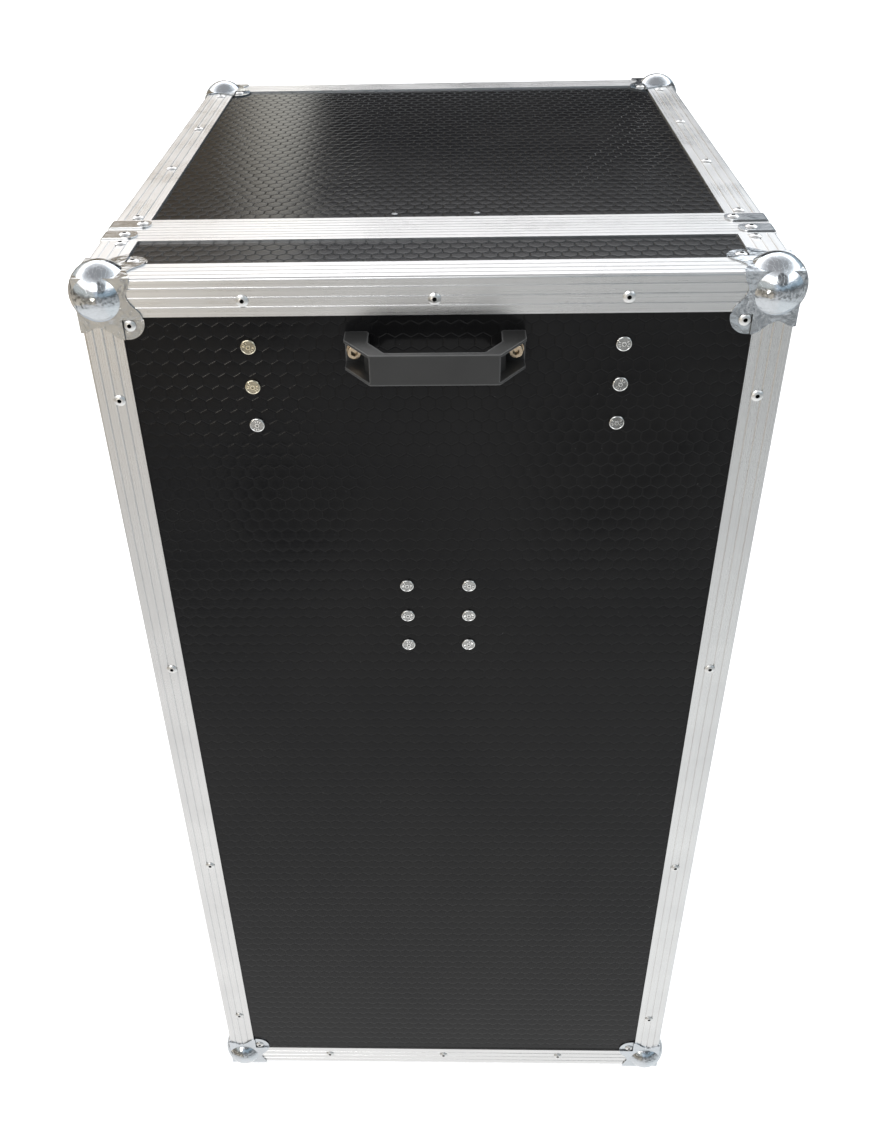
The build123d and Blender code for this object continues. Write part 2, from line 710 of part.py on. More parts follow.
SITE_NAMES = ["left_upper", "left_lower", "right_upper", "right_lower"]
for (s, z), name in zip(FIT_SITES, SITE_NAMES):
    # turning disc with its pivot through the dish floor and two hinge lugs
    with BuildPart() as latch_turn:
        with BuildSketch(seam_plane(s, z, DISC_D0)):
            with Locations((LATCH_U, 0)):
                Circle(25.0)
        extrude(amount=DISC_D1 - DISC_D0)
        with BuildSketch(seam_plane(s, z, DISC_D1)):
            with Locations((LATCH_U, 0)):
                Circle(PIVOT_R)
        extrude(amount=FLOOR_D + PLATE + 0.3 - DISC_D1)
        with BuildSketch(seam_plane(s, z, FLOOR_D + PLATE + 0.2)):
            with Locations((LATCH_U, 0)):
                Circle(8.0)
        extrude(amount=1.2)
        with BuildSketch(seam_plane(s, z, 0.7)):
            strip(LATCH_U - 1.6, LATCH_U + 1.6, LUG_W + 0.3, LUG_W + 3.3)
            strip(LATCH_U - 1.6, LATCH_U + 1.6, -LUG_W - 3.3, -LUG_W - 0.3)
        extrude(amount=DISC_D0 - 0.7)
        with Locations((s * (XS - WING_D), Y_SEAM + LATCH_U, z)):
            Cylinder(0.8, 60.0, mode=Mode.SUBTRACT)
    save(latch_turn, "latch_turn_" + name)

    # folding wing: a half-round plate on a barrel between the lugs
    with BuildPart() as latch_wing:
        with BuildSketch(seam_plane(s, z, WING_D - 0.7)):
            with Locations((LATCH_U, 0)):
                Circle(22.0)
                Rectangle(4.0, 2 * LUG_W, mode=Mode.ADD)
            strip(LATCH_U - 30, LATCH_U, -30, 30, mode=Mode.SUBTRACT)
            strip(LATCH_U - 1, LATCH_U + 2.2, LUG_W, 30, mode=Mode.SUBTRACT)
            strip(LATCH_U - 1, LATCH_U + 2.2, -30, -LUG_W, mode=Mode.SUBTRACT)
        extrude(amount=1.4)
        with Locations((s * (XS - WING_D), Y_SEAM + LATCH_U, z)):
            Cylinder(1.3, 2 * LUG_W)
            Cylinder(0.75, 2 * (LUG_W + 3.0))
    save(latch_wing, "latch_wing_" + name)

    # sliding hook: a slotted plate guided by the pivot, claw beyond the keeper
    with BuildPart() as latch_hook:
        with BuildSketch(seam_plane(s, z, HOOK_D0)):
            strip(-19.0, 56.0, -9.0, 9.0)
            with Locations((LATCH_U + 4.0, 0)):
                SlotOverall(2 * 5.3 + 8.6, 2 * 5.3, mode=Mode.SUBTRACT)
        extrude(amount=HOOK_D1 - HOOK_D0)
        with BuildSketch(seam_plane(s, z, HOOK_D0)):
            strip(-19.0, -17.4, -9.0, 9.0)
        extrude(amount=HOOK_D1 + 0.35 - HOOK_D0)
    save(latch_hook, "latch_hook_" + name)


# ================================================================ side handles
BAIL_Z = 30.0
BAIL_D = 8.0
BAIL_DROP = 56.0
ARM_Y = 50.0

with BuildPart() as handle_dishes:
    for s, z in FIT_SITES:
        with BuildSketch(grip_plane(s, z, PANEL_OUT - PLATE)):
            RectangleRounded(176.0, 124.0, 8.0)
        extrude(amount=PLATE)
        with BuildSketch(grip_plane(s, z, PANEL_OUT)):
            RectangleRounded(GRIP_OPEN_Y + 2 * PLATE, GRIP_OPEN_Z + 2 * PLATE, 9.0)
        extrude(amount=16.0 + PLATE - PANEL_OUT)
    for s, z in FIT_SITES:
        with BuildSketch(grip_plane(s, z, 0)):
            RectangleRounded(GRIP_OPEN_Y, GRIP_OPEN_Z, 8.0)
        extrude(amount=16.0, mode=Mode.SUBTRACT)
    for s, z in FIT_SITES:
        for side in (-1, 1):
            with BuildSketch(grip_plane(s, z, 3.5)):
                strip(side * 56.0, side * 60.0, BAIL_Z - 6.0, BAIL_Z + 6.0)
            extrude(amount=13.0)
        with Locations((s * (XS - BAIL_D), HANDLE_Y, z + BAIL_Z)):
            Cylinder(2.55, 130.0, rotation=(90, 0, 0), mode=Mode.SUBTRACT)
    drill(dish_rivets["body_left"] + dish_rivets["body_right"], RIVET_HOLE)
save(handle_dishes, "handle_dishes")

for (s, z), name in zip(FIT_SITES, SITE_NAMES):
    bar = Plane(
        origin=(s * (XS - BAIL_D), HANDLE_Y, z + BAIL_Z), x_dir=(0, 1, 0), z_dir=(1, 0, 0)
    )
    with BuildPart() as handle_bail:
        with BuildLine(bar) as loop:
            FilletPolyline(
                (-ARM_Y, 0),
                (-ARM_Y, -BAIL_DROP),
                (ARM_Y, -BAIL_DROP),
                (ARM_Y, 0),
                radius=10.0,
            )
        with BuildSketch(Plane(origin=loop.line @ 0, z_dir=loop.line % 0)):
            Circle(3.6)
        sweep(path=loop.line)
        with Locations((s * (XS - BAIL_D), HANDLE_Y, z + BAIL_Z - BAIL_DROP)):
            Cylinder(6.0, 76.0, rotation=(90, 0, 0))
        for side in (-1, 1):
            y = HANDLE_Y + side * ARM_Y
            with Locations((s * (XS - BAIL_D), y, z + BAIL_Z)):
                Cylinder(5.2, 8.0, rotation=(90, 0, 0))
            y = HANDLE_Y + side * (ARM_Y + 5.25)
            with Locations((s * (XS - BAIL_D), y, z + BAIL_Z)):
                Cylinder(2.5, 11.5, rotation=(90, 0, 0))
    save(handle_bail, "handle_bail_" + name)


# ================================================================ cover handle
GRIP_BACK = 36.5
BASE_T = 5.0
with BuildPart() as cover_handle:
    with BuildSketch(Plane.XY.offset(Z1 - GRIP_DROP - GRIP_TALL / 2)):
        with BuildLine():
            Polyline(
                (-67.5, Y_FRONT + PANEL_OUT),
                (-67.5, Y_FRONT - 13.7),
                (-47.5, Y_FRONT - GRIP_REACH),
                (47.5, Y_FRONT - GRIP_REACH),
                (67.5, Y_FRONT - 13.7),
                (67.5, Y_FRONT + PANEL_OUT),
                (49.5, Y_FRONT + PANEL_OUT),
                (49.5, Y_FRONT - 18.3),
                (36.6, Y_FRONT - GRIP_BACK),
                (-36.6, Y_FRONT - GRIP_BACK),
                (-49.5, Y_FRONT - 18.3),
                (-49.5, Y_FRONT + PANEL_OUT),
                close=True,
            )
        make_face()
        feet = [v for v in vertices() if abs(abs(v.X) - 49.5) < 0.1 and v.Y > Y_FRONT]
        fillet(feet, 3.0)
        knees = [v for v in vertices() if abs(abs(v.X) - 47.5) < 0.1]
        knees += [v for v in vertices() if abs(abs(v.X) - 36.6) < 0.1]
        fillet(knees, 2.0)
    extrude(amount=GRIP_TALL)
    for s in (-1, 1):
        with BuildSketch(Plane.XY.offset(Z1 - GRIP_DROP - GRIP_TALL / 2 + 2.0)):
            with BuildLine():
                Polyline(
                    (s * 52.3, Y_FRONT + PANEL_OUT - BASE_T),
                    (s * 80.0, Y_FRONT + PANEL_OUT - BASE_T),
                    (s * 80.0, Y_FRONT - 52.0),
                    (s * 43.6, Y_FRONT - 52.0),
                    (s * 46.6, Y_FRONT - GRIP_REACH + 3.8),
                    (s * 43.6, Y_FRONT - GRIP_REACH + 7.2),
                    (s * 52.3, Y_FRONT - 19.0),
                    close=True,
                )
            make_face()
            with BuildLine():
                Polyline(
                    (s * 40.0, Y_FRONT - 60.0),
                    (s * 47.5, Y_FRONT - 60.0),
                    (s * 47.5, Y_FRONT - GRIP_REACH + 3.0),
                    (s * 40.0, Y_FRONT - GRIP_REACH + 3.0),
                    close=True,
                )
            make_face(mode=Mode.SUBTRACT)
        extrude(amount=GRIP_TALL - 4.0, mode=Mode.SUBTRACT)
    bases = [((s * HANDLE_SCREW_X, Y_FRONT - 4.0, Z1 - GRIP_DROP), (0, 1, 0)) for s in (-1, 1)]
    drill(bases, 3.2, 8.0)
save(cover_handle, "cover_handle")


def bolt(head_r, head_h, reach, washer_r, washer_t):
    """Bolt along +Z from the seat: washer and head outside, shank inside."""
    with BuildPart() as one:
        Cylinder(3.0, reach, align=(Align.CENTER, Align.CENTER, Align.MIN))
        with Locations((0, 0, -washer_t)):
            Cylinder(washer_r, washer_t, align=(Align.CENTER, Align.CENTER, Align.MIN))
        with Locations((0, 0, -washer_t - head_h)):
            Cylinder(head_r, head_h, align=(Align.CENTER, Align.CENTER, Align.MIN))
    return one.part


with BuildPart() as socket_screw:
    add(bolt(5.25, 6.0, 21.5, 6.25, 1.2))
    rim = edges().filter_by(GeomType.CIRCLE).sort_by(Axis.Z)[0]
    fillet(rim, 0.6)
    with BuildSketch(Plane.XY.offset(-7.2)):
        RegularPolygon(2.5, 6, major_radius=False)
    extrude(amount=3.2, mode=Mode.SUBTRACT)

# flat round head with a raised centre ring and short raised ticks on two sides
with BuildPart() as stamped_bolt:
    with BuildSketch(Plane.XZ):
        with BuildLine():
            Polyline((0, 18.0), (3.0, 17.4), (3.0, 0), (6.0, 0), (6.1, -0.9))
            ThreePointArc((6.1, -0.9), (5.85, -1.55), (5.2, -1.85))
            Polyline(
                (5.2, -1.85),
                (4.95, -1.6),
                (2.0, -1.6),
                (1.8, -2.15),
                (1.2, -2.15),
                (0.95, -1.3),
                (0, -1.2),
                (0, 18.0),
            )
        make_face()
    revolve(axis=Axis.Z)
    with BuildSketch(Plane.XY.offset(-2.0)):
        for angle in TICK_ANGLES:
            with Locations(Location((3.5 * cos(radians(angle)), 3.5 * sin(radians(angle)), 0), (0, 0, angle))):
                Rectangle(1.7, 0.75)
    extrude(amount=0.6)

with BuildPart() as hex_nut:
    with BuildSketch():
        RegularPolygon(5.0, 6, major_radius=False)
        Circle(3.05, mode=Mode.SUBTRACT)
    extrude(amount=5.0)

BASE_Y = Y_FRONT + PANEL_OUT - BASE_T
with BuildPart() as handle_screws:
    seats = []
    for s in (-1, 1):
        seat = (s * HANDLE_SCREW_X, BASE_Y, Z1 - GRIP_DROP)
        seats.append(Plane(origin=seat, z_dir=(0, 1, 0)))
    with Locations(*seats):
        add(socket_screw.part)
save(handle_screws, "handle_screws")

with BuildPart() as cover_bolts:
    seats = []
    for (x, drop), turn in zip(BOLT_POINTS, BOLT_TURNS):
        seat = (x, Y_FRONT + PANEL_OUT, Z1 - drop)
        level = (cos(radians(turn)), 0, sin(radians(turn)))
        seats.append(Plane(origin=seat, x_dir=level, z_dir=(0, 1, 0)))
    with Locations(*seats):
        add(stamped_bolt.part)
save(cover_bolts, "cover_bolts")

STRIP_T = 2.0
STRIPS = [(x, 88.5) for x in (-141.5, 141.5)] + [(x, 315.25) for x in (-27.0, 27.0)]
with BuildPart() as backing_strips:
    y0 = Y_FRONT + PANEL_IN
    for x, drop in STRIPS:
        slab(x - 11.0, x + 11.0, y0, y0 + STRIP_T, Z1 - drop - 48.0, Z1 - drop + 48.0)
    drill([((x, y, z), d) for (x, y, z), d in bolt_holes], 3.1)
save(backing_strips, "backing_strips")

with BuildPart() as cover_nuts:
    seats = []
    for x, drop in BOLT_POINTS:
        seat = (x, Y_FRONT + PANEL_IN + STRIP_T, Z1 - drop)
        seats.append(Plane(origin=seat, z_dir=(0, 1, 0)))
    for s in (-1, 1):
        seat = (s * HANDLE_SCREW_X, Y_FRONT + PANEL_IN, Z1 - GRIP_DROP)
        seats.append(Plane(origin=seat, z_dir=(0, 1, 0)))
    with Locations(*seats):
        add(hex_nut.part)
save(cover_nuts, "cover_nuts")

# foam lining glued inside the front panel, cut out round the hardware
FOAM_T = 12.0
with BuildPart() as cover_foam:
    edge = 22.0
    y0 = Y_FRONT + PANEL_IN
    slab(-XS + edge, XS - edge, y0, y0 + FOAM_T, Z0 + edge, Z1 - edge)
    for x, drop in STRIPS:
        z = Z1 - drop
        slab(x - 14.0, x + 14.0, y0 - 1, y0 + 20, z - 51.0, z + 51.0, mode=Mode.SUBTRACT)
    for s in (-1, 1):
        x = s * HANDLE_SCREW_X
        z = Z1 - GRIP_DROP
        slab(x - 11.0, x + 11.0, y0 - 1, y0 + 20, z - 11.0, z + 11.0, mode=Mode.SUBTRACT)
    for s in (-1, 1):
        for z in (Z0 + TAB_AT, Z1 - TAB_AT):
            x = s * (XS - TAB_AT)
            slab(x - 6.0, x + 6.0, y0 - 1, y0 + 3.0, z - 6.0, z + 6.0, mode=Mode.SUBTRACT)
save(cover_foam, "cover_foam")


# ================================================================ cleat and feet
with BuildPart() as top_cleat:
    slab(-45.0, 45.0, Y_FRONT + 132.0, Y_FRONT + 146.0, Z1 - PANEL_IN - 1.5, Z1 - PANEL_IN)
    drill(cleat_points, 1.3)
save(top_cleat, "top_cleat")

with BuildPart() as cleat_screws:
    for (x, y, z), d in cleat_points:
        with Locations((x, y, Z1 - 13.5)):
            Cylinder(1.25, 12.0, align=(Align.CENTER, Align.CENTER, Align.MIN))
        with Locations((x, y, Z1 - PANEL_OUT)):
            Cylinder(2.4, 1.0, align=(Align.CENTER, Align.CENTER, Align.MIN))
save(cleat_screws, "cleat_screws")

with BuildPart() as rubber_feet:
    for x, y in FOOT_POINTS:
        with Locations((x, y, 0)):
            Cone(17.5, 20.0, FOOT_HEIGHT + PANEL_OUT, align=(Align.CENTER, Align.CENTER, Align.MIN))
            Cylinder(
                6.5, 9.0, align=(Align.CENTER, Align.CENTER, Align.MIN), mode=Mode.SUBTRACT
            )
            Cylinder(
                2.8, 30.0, align=(Align.CENTER, Align.CENTER, Align.MIN), mode=Mode.SUBTRACT
            )
save(rubber_feet, "rubber_feet")

with BuildPart() as foot_screws:
    for x, y in FOOT_POINTS:
        with Locations((x, y, 9.0 - 4.2)):
            Cylinder(5.0, 3.0, align=(Align.CENTER, Align.CENTER, Align.MIN))
        with Locations((x, y, 9.0 - 1.2)):
            Cylinder(6.2, 1.2, align=(Align.CENTER, Align.CENTER, Align.MIN))
            Cylinder(2.5, 22.0, align=(Align.CENTER, Align.CENTER, Align.MIN))
        with Locations((x, y, Z0 + PANEL_IN)):
            Cylinder(5.5, 3.0, align=(Align.CENTER, Align.CENTER, Align.MIN))
save(foot_screws, "foot_screws")
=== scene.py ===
"""Looks for the equipment rack case: materials, foam lining, studio and camera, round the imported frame."""

import math

import bmesh
import bpy
from mathutils import Matrix, Vector


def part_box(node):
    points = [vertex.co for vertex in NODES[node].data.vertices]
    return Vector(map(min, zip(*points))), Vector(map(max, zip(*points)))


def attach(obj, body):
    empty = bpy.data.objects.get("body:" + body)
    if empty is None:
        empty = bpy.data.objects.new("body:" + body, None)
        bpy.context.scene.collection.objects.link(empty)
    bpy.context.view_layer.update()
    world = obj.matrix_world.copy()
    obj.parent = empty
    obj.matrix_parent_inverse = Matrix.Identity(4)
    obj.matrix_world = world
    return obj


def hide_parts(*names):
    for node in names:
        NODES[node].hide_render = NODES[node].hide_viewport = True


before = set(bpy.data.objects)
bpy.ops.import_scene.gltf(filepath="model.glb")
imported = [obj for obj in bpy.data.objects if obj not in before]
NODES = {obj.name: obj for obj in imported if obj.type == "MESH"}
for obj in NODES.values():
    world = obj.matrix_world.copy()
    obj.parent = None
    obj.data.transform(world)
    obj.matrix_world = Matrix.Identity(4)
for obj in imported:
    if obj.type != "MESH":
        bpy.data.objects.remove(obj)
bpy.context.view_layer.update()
SITES = ["left_upper", "left_lower", "right_upper", "right_lower"]


# ---------------------------------------------------------------- node helpers
class Graph:
    """A material's node tree with short calls for adding and wiring nodes."""

    def __init__(self, name):
        self.mat = bpy.data.materials.new(name)
        self.mat.use_nodes = True
        self.tree = self.mat.node_tree
        self.tree.nodes.clear()
        out = self.tree.nodes.new("ShaderNodeOutputMaterial")
        self.bsdf = self.tree.nodes.new("ShaderNodeBsdfPrincipled")
        self.tree.links.new(self.bsdf.outputs[0], out.inputs[0])

    def link(self, value, socket):
        """A socket is wired; anything else is set as the value."""
        if isinstance(value, bpy.types.NodeSocket):
            self.tree.links.new(value, socket)
        else:
            socket.default_value = value

    def coords(self):
        return self.tree.nodes.new("ShaderNodeTexCoord").outputs["Object"]

    def math(self, op, a, b=0.0, c=0.0):
        node = self.tree.nodes.new("ShaderNodeMath")
        node.operation = op
        for socket, value in zip(node.inputs, (a, b, c)):
            self.link(value, socket)
        return node.outputs[0]

    def scaled(self, vector, scale):
        node = self.tree.nodes.new("ShaderNodeMapping")
        self.link(vector, node.inputs["Vector"])
        node.inputs["Scale"].default_value = scale
        return node.outputs[0]

    def noise(self, vector, scale, detail=3.0, rough=0.55, distort=0.0):
        node = self.tree.nodes.new("ShaderNodeTexNoise")
        self.link(vector, node.inputs["Vector"])
        node.inputs["Scale"].default_value = scale
        node.inputs["Detail"].default_value = detail
        node.inputs["Roughness"].default_value = rough
        node.inputs["Distortion"].default_value = distort
        return node.outputs["Fac"]

    def cells(self, vector, scale, feature="F1"):
        node = self.tree.nodes.new("ShaderNodeTexVoronoi")
        node.feature = feature
        self.link(vector, node.inputs["Vector"])
        node.inputs["Scale"].default_value = scale
        return node.outputs["Distance"]

    def span(self, value, lo, hi, to_lo=0.0, to_hi=1.0, smooth=False):
        node = self.tree.nodes.new("ShaderNodeMapRange")
        node.interpolation_type = "SMOOTHSTEP" if smooth else "LINEAR"
        self.link(value, node.inputs["Value"])
        for key, number in (("From Min", lo), ("From Max", hi), ("To Min", to_lo), ("To Max", to_hi)):
            node.inputs[key].default_value = number
        return node.outputs["Result"]

    def mix(self, fac, a, b, blend="MIX"):
        node = self.tree.nodes.new("ShaderNodeMix")
        node.data_type = "RGBA"
        node.blend_type = blend
        self.link(fac, node.inputs[0])
        self.link(a, node.inputs[6])
        self.link(b, node.inputs[7])
        return node.outputs[2]

    def bump(self, height, distance, strength=1.0):
        node = self.tree.nodes.new("ShaderNodeBump")
        node.inputs["Strength"].default_value = strength
        node.inputs["Distance"].default_value = distance
        self.link(height, node.inputs["Height"])
        return node.outputs[0]

    def axes(self, vector):
        """A vector's three parts."""
        node = self.tree.nodes.new("ShaderNodeSeparateXYZ")
        self.link(vector, node.inputs[0])
        return node.outputs

    def crease(self, distance, inside=False):
        """1 in the open and 0 deep in a recess; inside, 1 on a flat and less along an outer edge."""
        node = self.tree.nodes.new("ShaderNodeAmbientOcclusion")
        node.samples = 8
        node.inside = inside
        node.inputs["Distance"].default_value = distance
        return node.outputs["AO"]

    def set(self, **values):
        """Shader inputs by name, with underscores for spaces."""
        for key, value in values.items():
            self.link(value, self.bsdf.inputs[key.replace("_", " ")])


def rgb(r, g, b):
    return (r, g, b, 1.0)


# ---------------------------------------------------------------- materials
HEX_PITCH = 0.012
ROOT3 = math.sqrt(3.0)
GROOVE = (0.004, 0.062)     # where a groove's floor and its slope end, in pitches from the cell's edge
CROWN = (0.05, 0.30)        # where a cell's dome starts and levels off, measured the same way


def hex_ply(name, across, up, relief, gloss=(0.13, 0.18), dome=0.30):
    """Black phenolic film over plywood, embossed with small hexagons in one plane.

    relief is the depth in metres, gloss the roughness from polished to handled, and dome how
    far each cell swells between its grooves.
    """
    g = Graph(name)
    where = g.coords()
    parts = g.axes(where)
    px = g.math("DIVIDE", parts[across], HEX_PITCH)
    py = g.math("DIVIDE", parts[up], HEX_PITCH * ROOT3)

    def from_centre(shift):
        """Where a point is from its nearest cell centre in one grid, in pitches, and how far, squared."""
        u = g.math("SUBTRACT", g.math("FRACT", g.math("ADD", px, shift)), 0.5)
        v = g.math("SUBTRACT", g.math("FRACT", g.math("ADD", py, shift)), 0.5)
        v = g.math("MULTIPLY", v, ROOT3)
        return u, v, g.math("ADD", g.math("MULTIPLY", u, u), g.math("MULTIPLY", v, v))

    # the cell centres lie on two rectangular grids, half a step apart
    ax, ay, near_a = from_centre(0.0)
    bx, by, near_b = from_centre(0.5)
    pick = g.math("LESS_THAN", near_a, near_b)
    hx = g.math("ABSOLUTE", g.math("MULTIPLY_ADD", pick, g.math("SUBTRACT", ax, bx), bx))
    hy = g.math("ABSOLUTE", g.math("MULTIPLY_ADD", pick, g.math("SUBTRACT", ay, by), by))
    slant = g.math("ADD", g.math("MULTIPLY", hx, 0.5), g.math("MULTIPLY", hy, ROOT3 / 2))
    edge = g.math("SUBTRACT", 0.5, g.math("MAXIMUM", hx, slant))
    line = g.span(edge, *GROOVE, 1.0, 0.0, smooth=True)
    crown = g.span(edge, *CROWN, 0.0, 1.0, smooth=True)

    film = g.noise(where, 1400.0, 2.0, 0.6)
    smudge = g.noise(where, 5.0, 4.0, 0.6, 0.4)
    cloud = g.noise(where, 38.0, 3.0, 0.5)
    scuff = g.span(g.noise(g.scaled(where, (60.0, 60.0, 260.0)), 3.0, 5.0, 0.75, 1.2), 0.70, 0.78)
    base = g.mix(g.span(smudge, 0.3, 0.7), rgb(0.0040, 0.0040, 0.0044), rgb(0.0070, 0.0068, 0.0068))
    dust = g.span(g.noise(where, 620.0, 2.0, 0.5), 0.765, 0.785)
    base = g.mix(g.math("MULTIPLY", scuff, 0.12), base, rgb(0.05, 0.05, 0.05))
    base = g.mix(g.math("MULTIPLY", dust, 0.5), base, rgb(0.20, 0.20, 0.20))
    rough = g.math("ADD", g.span(smudge, 0.3, 0.7, *gloss), g.span(cloud, 0.3, 0.7, -0.02, 0.02))
    height = g.math("ADD", g.math("MULTIPLY", line, -1.0), g.math("MULTIPLY", crown, dome))
    height = g.math("ADD", height, g.math("MULTIPLY", film, 0.06))
    g.set(
        Base_Color=base,
        Roughness=rough,
        Specular_IOR_Level=0.17,
        Normal=g.bump(height, relief, 1.0),
    )
    return g.mat


ALUMINIUM = (0.90, 0.895, 0.885)


def aluminium(name, stretch):
    """Satin extrusion: fine drawn lines along the bar, faint handling marks."""
    g = Graph(name)
    where = g.coords()
    drawn = g.noise(g.scaled(where, stretch), 1.0, 4.0, 0.7)
    broad = g.noise(g.scaled(where, tuple(s * 0.22 for s in stretch)), 1.0, 2.0, 0.5)
    mottle = g.noise(where, 16.0, 4.0, 0.6)
    nick = g.span(g.noise(where, 210.0, 5.0, 0.8, 2.0), 0.70, 0.76)
    lo = rgb(*(c * 0.86 for c in ALUMINIUM))
    base = g.mix(g.span(drawn, 0.3, 0.7), lo, rgb(*ALUMINIUM))
    base = g.mix(g.span(mottle, 0.35, 0.75, 0.0, 0.35), base, rgb(0.70, 0.70, 0.70))
    base = g.mix(g.math("MULTIPLY", nick, 0.35), base, rgb(0.45, 0.45, 0.45))
    rough = g.math("ADD", g.span(drawn, 0.3, 0.7, 0.24, 0.34), g.span(mottle, 0.3, 0.7, -0.04, 0.05))
    height = g.math("ADD", drawn, g.math("MULTIPLY", broad, 0.8))
    height = g.math("SUBTRACT", height, g.math("MULTIPLY", nick, 0.8))
    g.set(
        Base_Color=base,
        Metallic=1.0,
        Roughness=rough,
        Normal=g.bump(height, 0.00005, 0.8),
    )
    return g.mat


def plated(name, tint, rough_lo, rough_hi, wave=0.0002, grime=0.25, scale=1.0, hollow=0.002):
    """Plated pressed steel: press ripples, hairline scratches, dull patches, and painted shade that darkens
    its creases and recesses.
    """
    g = Graph(name)
    where = g.coords()
    ripple = g.noise(where, 46.0 * scale, 3.0, 0.5, 0.3)
    hair = g.cells(g.scaled(where, (240.0, 90.0, 150.0)), 1.6 * scale, "DISTANCE_TO_EDGE")
    hair = g.span(hair, 0.0, 0.012, 1.0, 0.0)
    patch = g.noise(where, 24.0 * scale, 5.0, 0.65, 0.6)
    fine = g.noise(where, 900.0, 3.0, 0.6)
    dull = g.span(patch, 0.48, 0.72)
    base = g.mix(g.math("MULTIPLY", dull, grime), rgb(*tint), rgb(*(c * 0.62 for c in tint)))
    base = g.mix(g.math("MULTIPLY", hair, 0.18), base, rgb(*(c * 0.5 for c in tint)))
    # painted shade: the base colour goes near black in creases, recesses and rivet and socket holes, by how
    # closed in they are
    unshaded = g.span(g.crease(hollow), 0.30, 0.80)
    base = g.mix(unshaded, rgb(0.012, 0.012, 0.013), base)
    rough = g.math("ADD", g.span(patch, 0.3, 0.75, rough_lo, rough_hi), g.math("MULTIPLY", hair, 0.10))
    height = g.math("ADD", ripple, g.math("MULTIPLY", fine, 0.02))
    height = g.math("SUBTRACT", height, g.math("MULTIPLY", hair, 0.03))
    g.set(Base_Color=base, Metallic=1.0, Roughness=rough, Normal=g.bump(height, wave, 0.8))
    return g


# a bolt's struck face and its raised marks differ only in Y, so Y tells them apart
BOLT_FACE_Y = -0.28415
BOLT_RAISED_Y = -0.28430
# the two uppermost bolts of the left column are in a yellower zinc than the rest
YELLOW_BOLTS_X = (-0.10, -0.05)
YELLOW_BOLTS_Z = (0.940, 0.950)
YELLOW_ZINC = rgb(1.0, 0.90, 0.66)
YELLOWING = 0.75


def stamped(name):
    """Bolt heads: a dull struck face, its rim, ring and ticks rubbed bright, two bolts in yellower zinc."""
    g = plated(
        name, (0.97, 0.965, 0.945), 0.09, 0.20, wave=0.00006, grime=0.10, scale=4.0, hollow=0.0008
    )
    worn = g.bsdf.inputs["Base Color"].links[0].from_socket
    where = g.coords()
    x, y, z = g.axes(where)
    raised = g.span(y, BOLT_RAISED_Y, BOLT_FACE_Y, 1.0, 0.0)
    struck = g.noise(where, 1100.0, 3.0, 0.6)
    face = g.mix(struck, rgb(0.22, 0.22, 0.215), rgb(0.68, 0.68, 0.66))
    yellow = g.math("MULTIPLY", g.span(x, *YELLOW_BOLTS_X, 1.0, 0.0), g.span(z, *YELLOW_BOLTS_Z))
    yellow = g.math("MULTIPLY", yellow, YELLOWING)
    g.set(Base_Color=g.mix(yellow, g.mix(raised, face, worn), YELLOW_ZINC, "MULTIPLY"))
    return g.mat


def painted(name, tint, rough_lo, rough_hi, grain, depth, chips, bare):
    """Stoved or powder-coated metal: orange peel, dust, small worn spots and rubbed edges."""
    g = Graph(name)
    where = g.coords()
    peel = g.noise(where, grain, 3.0, 0.5)
    wash = g.noise(where, 22.0, 4.0, 0.6)
    speck = g.span(g.noise(where, 1300.0, 4.0, 0.75), 0.64, 0.70)
    base = g.mix(g.span(wash, 0.3, 0.7), rgb(*(c * 0.86 for c in tint)), rgb(*(c * 1.12 for c in tint)))
    base = g.mix(g.math("MULTIPLY", speck, chips), base, rgb(*bare))
    rubbed = g.span(g.crease(0.0012, inside=True), 0.55, 0.95, 0.7, 0.0)
    base = g.mix(rubbed, base, rgb(*bare))
    rough = g.math("ADD", g.span(wash, 0.3, 0.7, rough_lo, rough_hi), g.math("MULTIPLY", speck, 0.05))
    g.set(
        Base_Color=base,
        Roughness=rough,
        Specular_IOR_Level=0.5,
        Normal=g.bump(peel, depth, 0.7),
    )
    return g.mat


def rubber(name):
    """Matt moulded rubber with fine grain and dusty patches."""
    g = Graph(name)
    where = g.coords()
    grain = g.noise(where, 700.0, 4.0, 0.6)
    dust = g.noise(where, 60.0, 4.0, 0.7)
    base = g.mix(g.span(dust, 0.45, 0.75), rgb(0.014, 0.014, 0.015), rgb(0.05, 0.048, 0.045))
    g.set(
        Base_Color=base,
        Roughness=g.span(dust, 0.3, 0.7, 0.55, 0.78),
        Specular_IOR_Level=0.35,
        Normal=g.bump(grain, 0.0002, 0.6),
    )
    return g.mat


def foam(name):
    """Dark open-cell foam: a pitted surface with a faint dusty bloom."""
    g = Graph(name)
    where = g.coords()
    pit = g.cells(where, 620.0, "F1")
    big = g.cells(where, 240.0, "SMOOTH_F1")
    bloom = g.noise(where, 18.0, 4.0, 0.6)
    # painted shade: the pits of the bump are coloured darker, standing in for shade in the foam's pores
    base = g.mix(g.span(pit, 0.1, 0.7), rgb(0.006, 0.006, 0.007), rgb(0.040, 0.040, 0.043))
    base = g.mix(g.span(bloom, 0.45, 0.8, 0.0, 0.3), base, rgb(0.075, 0.073, 0.070))
    height = g.math("ADD", pit, g.math("MULTIPLY", big, 0.6))
    g.set(
        Base_Color=base,
        Roughness=g.span(bloom, 0.3, 0.7, 0.86, 0.97),
        Specular_IOR_Level=0.15,
        Sheen_Weight=0.25,
        Sheen_Roughness=0.6,
        Normal=g.bump(height, 0.0011, 0.9),
    )
    return g.mat


# drawn lines: long along the bar, fine across it
LONG, FINE = 2.5, 1700.0
ALONG_X = (LONG, FINE, FINE)
ALONG_Y = (FINE, LONG, FINE)
ALONG_Z = (FINE, FINE, LONG)

